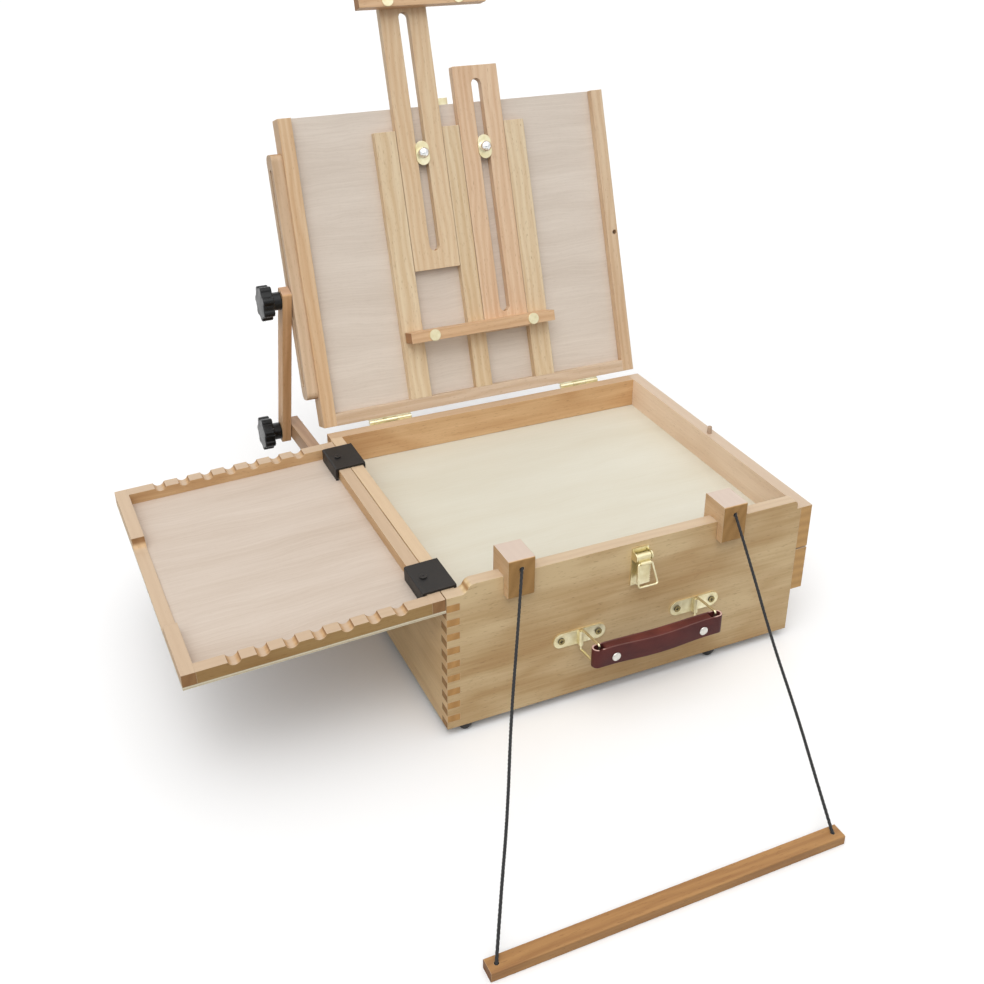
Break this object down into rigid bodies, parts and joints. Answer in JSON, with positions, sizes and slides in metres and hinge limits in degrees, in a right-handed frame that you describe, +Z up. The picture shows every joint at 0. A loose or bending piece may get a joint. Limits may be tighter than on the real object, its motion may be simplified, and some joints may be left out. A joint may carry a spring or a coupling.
{
  "type": "pochade box",
  "caption": "Wooden sketching case with an easel in its open lid, a scalloped brush tray on its left wall, pull-out panel and drawer, leather handle and a bar hung on cords.",
  "frame": {"origin": "centre of the underside of the case's base panel, which lies 10 mm above the surface that the feet stand on", "axes": "+X to the right along the front, +Y to the back where the lid is hinged, +Z up"},
  "size_m": [0.6347, 0.7712, 0.6091],
  "materials": {
    "pale_wood": "satin varnish",
    "front_wood": "satin varnish",
    "panel_wood": "thin pale plywood",
    "rail_wood": "satin varnish",
    "tray_wood": "pale plywood",
    "bar_wood": "satin varnish",
    "brass": "polished",
    "steel": "bright plated",
    "black_metal": "matt black",
    "black_plastic": "moulded",
    "rubber": "matt",
    "leather": "maroon, lightly glazed",
    "cord": "black braid"
  },
  "bodies": {
    "case": {"front_wall": "front_wood", "back_wall": "pale_wood", "left_wall": "pale_wood", "lower_right_rail": "pale_wood", "base_panel": "panel_wood", "drawer_runners": "pale_wood", "rubber_feet": "rubber", "case_hinge_leaves": "brass", "case_hinge_screws": "brass", "stay_arm": "pale_wood", "arm_screws": "brass", "lower_stud": "steel", "latch_plate": "brass", "handle_chapes": "brass", "chape_screws": "brass"},
    "pull_out_panel": {"pull_out_panel": "panel_wood", "upper_right_board": "pale_wood", "locating_peg": "pale_wood"},
    "drawer": {"drawer_board": "pale_wood", "drawer_frame": "pale_wood", "drawer_bottom": "panel_wood"},
    "side_tray": {"side_tray_scalloped_rails": "tray_wood", "side_tray_outer_rail": "tray_wood", "side_tray_inner_rail": "tray_wood", "side_tray_floor": "tray_wood", "tray_clips": "black_metal", "clip_screws": "black_metal"},
    "lid": {"lid_left_rail": "rail_wood", "lid_right_rail": "rail_wood", "lid_bottom_rail": "rail_wood", "lid_panel": "panel_wood", "guide_battens": "rail_wood", "lid_side_batten": "rail_wood", "lid_hinge_leaves": "brass", "lid_hinge_screws": "brass", "catch_plate": "brass", "slide_bolts_and_washers": "brass"},
    "left_slide": {"left_slide": "rail_wood", "top_clamp_bar": "rail_wood", "clamp_discs": "brass"},
    "right_slide": {"right_slide": "rail_wood", "canvas_ledge": "rail_wood", "ledge_discs": "brass"},
    "left_dome_nut": {"left_dome_nut": "steel"},
    "right_dome_nut": {"right_dome_nut": "steel"},
    "slot_nut": {"slot_nut": "steel"},
    "strut": {"stay_strut": "rail_wood", "upper_stud": "steel"},
    "lower_knob": {"lower_knob": "black_plastic"},
    "upper_knob": {"upper_knob": "black_plastic"},
    "hanger": {"saddle_blocks": "pale_wood", "left_cord": "cord", "right_cord": "cord", "hanging_bar": "bar_wood"},
    "latch_lever": {"latch_lever": "brass"},
    "latch_bail": {"latch_bail": "brass"},
    "left_ring": {"left_ring": "brass"},
    "right_ring": {"right_ring": "brass"},
    "handle": {"leather_handle": "leather", "handle_rivets": "brass"}
  },
  "joints": [
    {"name": "lid_hinge", "type": "hinge", "parent": "case", "child": "lid", "pos_m": [0, 0.176, 0.1488], "axis": [-1, 0, 0], "range_deg": [-94, 10]},
    {"name": "stay_pivot", "type": "hinge", "parent": "case", "child": "strut", "pos_m": [-0.2142, 0.2825, 0.1052], "axis": [-1, 0, 0], "range_deg": [-51, 5.5]},
    {"name": "slot_nut_slide", "type": "slide", "parent": "lid", "child": "slot_nut", "axis": [0, 0.3289, 0.9444], "range_m": [-0.0815, 0.0088]},
    {"name": "lower_knob_turn", "type": "hinge", "parent": "case", "child": "lower_knob", "pos_m": [-0.2142, 0.2825, 0.1052], "axis": [-1, 0, 0], "continuous": true},
    {"name": "upper_knob_turn", "type": "hinge", "parent": "strut", "child": "upper_knob", "pos_m": [-0.2142, 0.23938, 0.28641], "axis": [-1, 0, 0], "continuous": true},
    {"name": "left_slide_travel", "type": "slide", "parent": "lid", "child": "left_slide", "axis": [0, 0.3289, 0.9444], "range_m": [-0.14, 0.1]},
    {"name": "right_slide_travel", "type": "slide", "parent": "lid", "child": "right_slide", "axis": [0, 0.3289, 0.9444], "range_m": [-0.055, 0.17]},
    {"name": "left_dome_nut_turn", "type": "hinge", "parent": "lid", "child": "left_dome_nut", "pos_m": [-0.0417, 0.26967, 0.42538], "axis": [0, -0.9444, 0.3289], "continuous": true},
    {"name": "right_dome_nut_turn", "type": "hinge", "parent": "lid", "child": "right_dome_nut", "pos_m": [0.0352, 0.26967, 0.42538], "axis": [0, -0.9444, 0.3289], "continuous": true},
    {"name": "side_tray_lift", "type": "slide", "parent": "case", "child": "side_tray", "axis": [0, 0, 1], "range_m": [0, 0.008]},
    {"name": "panel_pull", "type": "slide", "parent": "case", "child": "pull_out_panel", "axis": [1, 0, 0], "range_m": [0, 0.25]},
    {"name": "drawer_pull", "type": "slide", "parent": "case", "child": "drawer", "axis": [1, 0, 0], "range_m": [0, 0.25]},
    {"name": "hanger_lift", "type": "slide", "parent": "case", "child": "hanger", "axis": [0, 0, 1], "range_m": [0, 0.025]},
    {"name": "latch_lever_swing", "type": "hinge", "parent": "case", "child": "latch_lever", "pos_m": [-0.0015, -0.178, 0.144], "axis": [-1, 0, 0], "range_deg": [0, 100]},
    {"name": "latch_bail_swing", "type": "hinge", "parent": "latch_lever", "child": "latch_bail", "pos_m": [-0.0015, -0.183, 0.139], "axis": [-1, 0, 0], "range_deg": [-20, 90]},
    {"name": "left_ring_swing", "type": "hinge", "parent": "case", "child": "left_ring", "pos_m": [-0.0633, -0.176, 0.067], "axis": [0, 0, 1], "range_deg": [-68, 52]},
    {"name": "right_ring_swing", "type": "hinge", "parent": "case", "child": "right_ring", "pos_m": [0.0657, -0.176, 0.067], "axis": [0, 0, 1], "range_deg": [-68, 52]},
    {"name": "leather_turn", "type": "hinge", "parent": "left_ring", "child": "handle", "pos_m": [-0.0594, -0.20373, 0.0639], "axis": [0, 0, 1], "range_deg": [-52, 68]}
  ],
  "couplings": [
    {"joint": "stay_pivot", "follows": "lid_hinge", "ratio": 0.54},
    {"joint": "slot_nut_slide", "follows": "lid_hinge", "m_per_rad": 0.0494},
    {"joint": "right_ring_swing", "follows": "left_ring_swing", "ratio": 1},
    {"joint": "leather_turn", "follows": "left_ring_swing", "ratio": -1}
  ]
}
